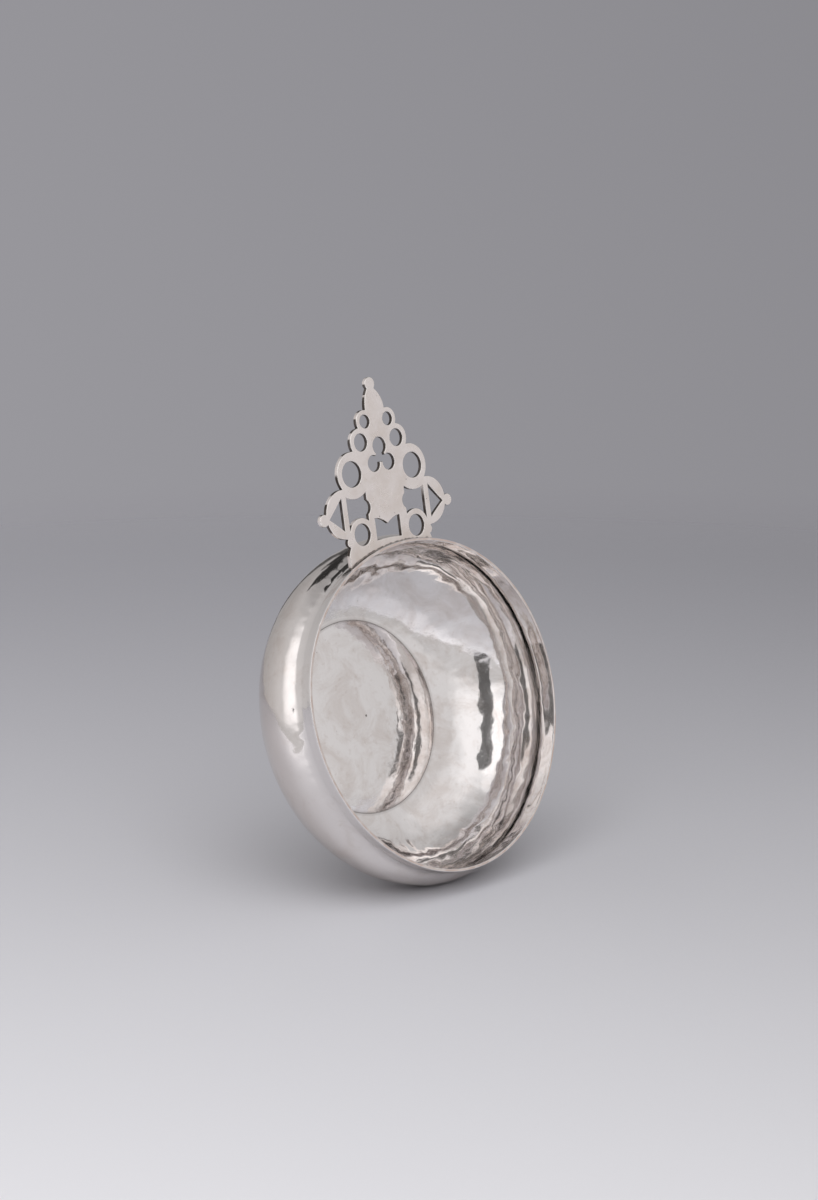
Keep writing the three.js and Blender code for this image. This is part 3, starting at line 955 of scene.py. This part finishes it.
def smooth_loop(loop, corner_turn, step):
    """Rounds the arcs of a loop and keeps its corners, without the points on its straight edges."""
    loop = loop[turning(loop) > 0.01]
    corners = list(np.nonzero(turning(loop) > corner_turn)[0])
    if not corners:
        return smooth_curve(np.concatenate([loop[-1:], loop, loop[:2]]), step)
    runs = []
    for this, following in zip(corners, corners[1:] + [corners[0] + len(loop)]):
        run = loop[np.arange(this, following + 1) % len(loop)]
        if len(run) < 3:
            runs.append(run[:1])
        else:
            runs.append(smooth_curve(np.array([2 * run[0] - run[1], *run, 2 * run[-1] - run[-2]]), step))
    return np.concatenate(runs)


def shade_of_walls(loops, places, reach):
    """How closely another wall stands in front of the wall at each place, from 0 to 1."""
    walls = np.concatenate(loops)
    along = np.concatenate([np.roll(loop, -1, axis=0) - np.roll(loop, 1, axis=0) for loop in loops])
    facing = np.stack([along[:, 1], -along[:, 0]], 1) / np.linalg.norm(along, axis=1)[:, None]
    tree = kdtree.KDTree(len(walls))
    shade = np.zeros(len(walls))
    for index, (wall, front) in enumerate(zip(walls, facing)):
        tree.insert((*wall, 0), index)
        gap = walls - wall
        distance = np.maximum(np.linalg.norm(gap, axis=1), 0.01 * MM)
        ahead = distance[gap @ front > 0.25 * distance]
        shade[index] = 1 - min(ahead.min() / reach, 1) if len(ahead) else 0
    tree.balance()
    return np.array([shade[tree.find((place[0], place[1], 0))[1]] for place in places])


def cut_plate(lines, thickness, edge_round):
    """A flat plate, cut to its lines, with rounded edges."""
    curve = bpy.data.curves.new("handle_outline", "CURVE")
    curve.dimensions = "2D"
    curve.fill_mode = "BOTH"
    curve.extrude = thickness / 2 - edge_round
    curve.bevel_depth = edge_round
    curve.bevel_resolution = 3
    for line in lines:
        spline = curve.splines.new("POLY")
        spline.points.add(len(line) - 1)
        points = np.concatenate([line, np.zeros((len(line), 1)), np.ones((len(line), 1))], 1)
        spline.points.foreach_set("co", points.ravel())
        spline.use_cyclic_u = True
    drawing = bpy.data.objects.new("handle_drawing", curve)
    bpy.context.scene.collection.objects.link(drawing)
    bpy.context.view_layer.update()
    mesh = bpy.data.meshes.new_from_object(drawing.evaluated_get(bpy.context.evaluated_depsgraph_get()))
    bpy.data.objects.remove(drawing)
    bpy.data.curves.remove(curve)

    bm = opened(mesh, 0.002 * MM)
    bmesh.ops.recalc_face_normals(bm, faces=bm.faces)
    bm.to_mesh(mesh)
    bm.free()
    return mesh


def handle_mesh(sizes):
    """The handle on the frame's outline, with its arcs made round and its edges worn."""
    rounds, lay = plate_face()
    half = plate_thickness(lay) / 2
    lines = [smooth_loop(loop, sizes.corner_turn, sizes.step) for loop in rounds]
    mesh = cut_plate(lines, 2 * half, sizes.edge_round)

    places = np.array([vertex.co for vertex in mesh.vertices])
    depth = places[:, 2] - half
    rounded = sizes.edge_round
    worn = smoothstep(depth, -0.9 * rounded, -0.35 * rounded) * (1 - smoothstep(depth, -0.06 * rounded, 0))
    side = 1 - smoothstep(np.abs(places[:, 2]), half - rounded, half - 0.3 * rounded)
    mark(mesh, "worn", worn)
    # Painted shade on the walls of the piercing, by how close another wall stands in front.
    mark(mesh, "shaded", side * shade_of_walls(lines, places, sizes.shade_reach))
    level = places * [1, 1, 0]
    wander = np.stack([noise_along(level, 3 * MM), noise_along(level, 3 * MM, 13.0)], 1)
    places[:, :2] += sizes.edge_wander * wander
    places[:, 2] -= half
    turned = places @ np.array(lay.to_3x3()).T + np.array(lay.translation)
    turned = keep_in_box(turned, *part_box("handle"))
    mesh.vertices.foreach_set("co", turned.ravel().astype(np.float32))
    mesh.shade_smooth()
    mesh.update()
    return mesh


# Solder

def solder_mesh(sizes):
    """The fillet of the frame, cut finer, with a free face that swells and thins as solder flows."""
    bm = opened(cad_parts["handle_solder"].data, 0.001 * MM)
    for _ in range(3):
        long = [edge for edge in bm.edges if edge.calc_length() > sizes.grain]
        bmesh.ops.subdivide_edges(bm, edges=long, cuts=1, use_grid_fill=False)
        bmesh.ops.triangulate(bm, faces=[face for face in bm.faces if len(face.verts) > 4])
    bm.normal_update()
    centre = Vector(foot_centre())
    moves = []
    for vertex in bm.verts:
        out = ((vertex.co - centre) * Vector((1, 1, 0))).normalized()
        free = max(vertex.normal.dot((out + Vector((0, 0, -1))).normalized()), 0)
        swell = 0.5 + 0.5 * noise.noise(vertex.co / sizes.span)
        swell += 0.25 * noise.noise(vertex.co / (0.3 * sizes.span))
        moves.append((vertex, vertex.normal * -sizes.unevenness * free * max(swell, 0)))
    for vertex, move in moves:
        vertex.co += move
    mesh = bpy.data.meshes.new("solder_run")
    bm.to_mesh(mesh)
    bm.free()
    mesh.shade_smooth()
    return mesh


# Stage

# Directions in the room are in degrees: a turn from behind the camera towards the right, and a lift.
# A patch of the room has its start, end and soft edge in turn, and then in lift. The last number of
# each screen is the light that it adds.
SCREENS = (
    (-42, 31, 14, -2, 54, 12, 0.315),
    (-50, -8, 9, -2, 54, 12, 0.2),
    (30, 78, 12, 30, 66, 8, 0.13),
)
GAP = (-15, 4, 1.0, -19, 41, 2.5)
CEILING = (-174, -118, 3, 57, 80, 3)
CORNER = (-172, -150, 3, 43, 60, 3)
SLIT = (-171, -164, 2, -6, 50, 4)
BEYOND_RIGHT = (130, 168, 10, 0, 82, 8)

# Where the light of the room and of the floor's reflection starts and ends from in front of the camera
# to behind it, and how strong it is there
ROOM_LIGHT = (-0.9, 0.9, 0.345, 0.627)
FLOOR_LIGHT = (-0.9, 0.9, 0.38, 0.62)

# Name, turn, lift, distance, width and height of each softbox
SOFTBOXES = (
    ("softbox_left", -30, 25, 1.0, 0.7, 0.9),
    ("softbox_right", 24, 28, 1.0, 0.8, 0.9),
)
OVERHEAD = ("softbox_overhead", 2, 40, 1.6, 1.7, 1.7)


def studio_axes(studio):
    """The directions to the picture's right and top and to the camera."""
    right = Vector(studio.camera_right).normalized()
    up = Vector(studio.camera_up).normalized()
    back = right.cross(up).normalized()
    return right, back.cross(right), back


def floor_up(studio, axes):
    """The upward direction of the floor, which the camera looks down on."""
    _, up, back = axes
    return (up * math.cos(studio.camera_pitch) + back * math.sin(studio.camera_pitch)).normalized()


def place_camera(scene, studio, axes):
    """Puts the camera where the picture is seen from."""
    camera = bpy.data.objects.new("camera", bpy.data.cameras.new("camera"))
    camera.data.lens = studio.lens
    camera.data.sensor_fit = "AUTO"
    camera.data.sensor_width = 36
    camera.data.clip_start = 0.01
    camera.matrix_world = axes_matrix(*axes, Vector(studio.camera_place))
    scene.collection.objects.link(camera)
    scene.camera = camera


def floor_material(studio, axes, rise, centre):
    """A pale floor with painted light falloff, darker away from the camera and to the right, which fades out at
    its rim and shows from above only.
    """
    material, recipe = new_material("studio_floor")
    place = recipe.node("ShaderNodeNewGeometry").outputs
    away = recipe.vector("SUBTRACT", place["Position"], tuple(centre))
    towards = recipe.vector("DOT_PRODUCT", away, tuple((axes[2] - rise * axes[2].dot(rise)).normalized()))
    aside = recipe.vector("DOT_PRODUCT", away, tuple(axes[0]))
    # Painted light falloff: the floor darkens away from the camera, and towards the right except close to the
    # camera.
    share = recipe.math("POWER", recipe.slope(towards, -0.75, 0.38), 2.0)
    near_right = recipe.times(recipe.ramp(aside, 0.165, 0.26), recipe.ramp(towards, -0.15, 0.05))
    painted_falloff = recipe.without(recipe.slope(aside, -0.3, 0.3, 0.04, 0.25), near_right)
    base = recipe.mix(share, studio.floor_far, studio.floor_near)
    base = recipe.mix(painted_falloff, base, (0, 0, 0))
    grain = recipe.noise(place["Position"], 900.0, 2.0)
    shader = recipe.named("ShaderNodeBsdfPrincipled", {
        "Base Color": base,
        "Specular IOR Level": 0.15,
        "Roughness": recipe.slope(grain, 0.3, 0.7, 0.5, 0.6),
        "Normal": recipe.bumps((grain, 0.01)),
    })
    radius = studio.floor_radius
    rim = recipe.ramp(recipe.vector("LENGTH", away), 0.6 * radius, 0.98 * radius, 1.0, 0.0)
    seen = recipe.without(rim, place["Backfacing"])
    surface = recipe.join(seen, recipe.node("ShaderNodeBsdfTransparent"), shader)
    recipe.named("ShaderNodeOutputMaterial", {"Surface": surface})
    return material


def lay_floor(scene, studio, axes, middle):
    """Lays the floor under the lowest point of the pieces."""
    rise = floor_up(studio, axes)
    shown = [item for item in scene.objects if item.type == "MESH" and not item.hide_render]
    level = min(vertex.co.dot(rise) for item in shown for vertex in item.data.vertices)
    foot = middle + rise * (level - middle.dot(rise))
    bm = bmesh.new()
    bmesh.ops.create_circle(bm, cap_ends=True, segments=96, radius=studio.floor_radius)
    mesh = bpy.data.meshes.new("studio_floor")
    bm.to_mesh(mesh)
    bm.free()
    floor = bpy.data.objects.new("studio_floor", mesh)
    across = axes[2].cross(rise).normalized()
    floor.matrix_world = axes_matrix(across, rise.cross(across), rise, foot)
    scene.collection.objects.link(floor)
    mesh.materials.append(floor_material(studio, axes, rise, foot))


def studio_world(scene, studio, axes):
    """The room round the bowl by direction: grey backdrop, pale walls, bright screens and a dark gap."""
    world = bpy.data.worlds.new("studio_room")
    world.use_nodes = True
    scene.world = world
    recipe = Recipe(world.node_tree)
    direction = recipe.node("ShaderNodeTexCoord").outputs["Generated"]
    right, up, back = (recipe.vector("DOT_PRODUCT", direction, tuple(axis)) for axis in axes)
    turn = recipe.times(recipe.math("ARCTAN2", right, back), 180 / math.pi)
    lift = recipe.times(recipe.math("ARCSINE", up), 180 / math.pi)

    def patch(*edges):
        """1 in one patch of the room."""
        return recipe.times(recipe.band(turn, *edges[:3]), recipe.band(lift, *edges[3:]))

    aside = recipe.most(recipe.times(right, 0.15), recipe.times(right, -0.14))
    level = recipe.math("ADD", recipe.slope(back, *ROOM_LIGHT), aside)
    for *edges, light in SCREENS:
        level = recipe.math("ADD", level, recipe.times(patch(*edges), light))
    gap = patch(*GAP)
    level = recipe.without(level, recipe.times(gap, 0.84))
    level = recipe.times(level, recipe.ramp(lift, 55, 80, 1.0, 0.75))
    dark = recipe.most(patch(*CEILING), patch(*CORNER), recipe.times(patch(*SLIT), 0.85))
    dark = recipe.most(recipe.times(dark, 0.92), recipe.times(patch(*BEYOND_RIGHT), 0.3))
    level = recipe.without(level, dark)
    below = recipe.ramp(lift, -8, 0, 1.0, 0.0)
    under = recipe.without(recipe.slope(back, *FLOOR_LIGHT), recipe.times(gap, 0.8))
    room = recipe.math("ADD", recipe.without(level, below), recipe.times(under, below))

    falloff = recipe.times(recipe.slope(right, -0.17, 0.17, 1.03, 0.88), recipe.slope(up, 0.0, 0.24, 1.07, 1.0))
    lit = recipe.node("ShaderNodeBackground", studio.light_tint, room)
    plain = recipe.node("ShaderNodeBackground", studio.backdrop, falloff)
    seen = recipe.node("ShaderNodeLightPath").outputs["Is Camera Ray"]
    recipe.named("ShaderNodeOutputWorld", {"Surface": recipe.join(seen, lit, plain)})


def softbox(scene, studio, power, axes, target, name, turn, lift, distance, width, height):
    """Hangs a softbox that looks at the bowl."""
    right, up, back = axes
    turn, lift = math.radians(turn), math.radians(lift)
    away = (right * math.sin(turn) + back * math.cos(turn)) * math.cos(lift) + up * math.sin(lift)
    side = up.cross(away).normalized()
    light = bpy.data.lights.new(name, "AREA")
    light.shape = "RECTANGLE"
    light.size, light.size_y = width, height
    light.energy = power
    light.color = tuple(min(value, 1.0) for value in studio.light_tint)
    lamp = bpy.data.objects.new(name, light)
    lamp.matrix_world = axes_matrix(side, away.cross(side), away, target + away * distance)
    lamp.visible_camera = False
    scene.collection.objects.link(lamp)
    return lamp


# Operators

class PORRINGER_OT_raise_bowl(Operator):
    """Raises the bowl from one sheet, with its hammer marks, its flat rim and the boss inside."""

    bl_idname = "porringer.raise_bowl"
    bl_label = "Raise bowl"

    def execute(self, context):
        settings = context.scene.porringer
        mesh = bowl_mesh(settings.bowl, settings.hammering)
        show("bowl_raised", mesh, bowl_silver(settings.finish), "raised_silver", "bowl")
        return {"FINISHED"}


class PORRINGER_OT_cast_handle(Operator):
    """Casts the pierced handle on the outline of the frame, with worn edges."""

    bl_idname = "porringer.cast_handle"
    bl_label = "Cast handle"

    def execute(self, context):
        settings = context.scene.porringer
        mesh = handle_mesh(settings.handle)
        silver = handle_silver(settings.finish, settings.bowl)
        piece = show("handle_cast", mesh, silver, "cast_silver", "handle")
        flat = piece.modifiers.new("flat_faces", "WEIGHTED_NORMAL")
        flat.mode = "FACE_AREA"
        flat.weight = 100
        flat.thresh = 0.01
        return {"FINISHED"}


class PORRINGER_OT_run_solder(Operator):
    """Runs the solder under the handle's root."""

    bl_idname = "porringer.run_solder"
    bl_label = "Run solder"

    def execute(self, context):
        settings = context.scene.porringer
        mesh = solder_mesh(settings.solder)
        piece = show("solder_run", mesh, solder_silver(settings.finish), "solder", "handle_solder")
        flat = piece.modifiers.new("flat_faces", "WEIGHTED_NORMAL")
        flat.weight = 60
        return {"FINISHED"}


class PORRINGER_OT_set_stage(Operator):
    """Sets the camera, the floor, the room, the two softboxes and the lamp over the floor."""

    bl_idname = "porringer.set_stage"
    bl_label = "Set stage"

    def execute(self, context):
        scene = context.scene
        studio = scene.porringer.studio
        axes = studio_axes(studio)
        middle = (packed_box[0] + packed_box[1]) / 2
        place_camera(scene, studio, axes)
        lay_floor(scene, studio, axes, middle)
        studio_world(scene, studio, axes)
        for row in SOFTBOXES:
            softbox(scene, studio, studio.softbox_power, axes, middle, *row)
        overhead = softbox(scene, studio, studio.overhead_power, axes, middle, *OVERHEAD)
        overhead.visible_glossy = False
        scene.view_settings.view_transform = "Standard"
        return {"FINISHED"}


class PORRINGER_PT_workshop(Panel):
    """Lists the steps that make the porringer."""

    bl_idname = "PORRINGER_PT_workshop"
    bl_label = "Silver porringer"
    bl_space_type = "VIEW_3D"
    bl_region_type = "UI"
    bl_category = "Porringer"

    def draw(self, context):
        for step in STEPS:
            self.layout.operator(step.bl_idname)


STEPS = (
    PORRINGER_OT_raise_bowl,
    PORRINGER_OT_cast_handle,
    PORRINGER_OT_run_solder,
    PORRINGER_OT_set_stage,
)
CLASSES = (
    BowlSizes,
    BowlHammering,
    HandleSizes,
    SolderSizes,
    SilverFinish,
    Studio,
    PorringerSettings,
    *STEPS,
    PORRINGER_PT_workshop,
)


def register():
    """Registers the settings, the steps and the panel."""
    for item in CLASSES:
        bpy.utils.register_class(item)
    bpy.types.Scene.porringer = PointerProperty(type=PorringerSettings)


def unregister():
    """Takes away what register added."""
    del bpy.types.Scene.porringer
    for item in reversed(CLASSES):
        bpy.utils.unregister_class(item)


def main():
    """Makes the porringer and its stage."""
    register()
    bpy.ops.porringer.raise_bowl()
    bpy.ops.porringer.cast_handle()
    bpy.ops.porringer.run_solder()
    bpy.ops.porringer.set_stage()
    bpy.context.view_layer.update()


if __name__ == "__main__":
    main()
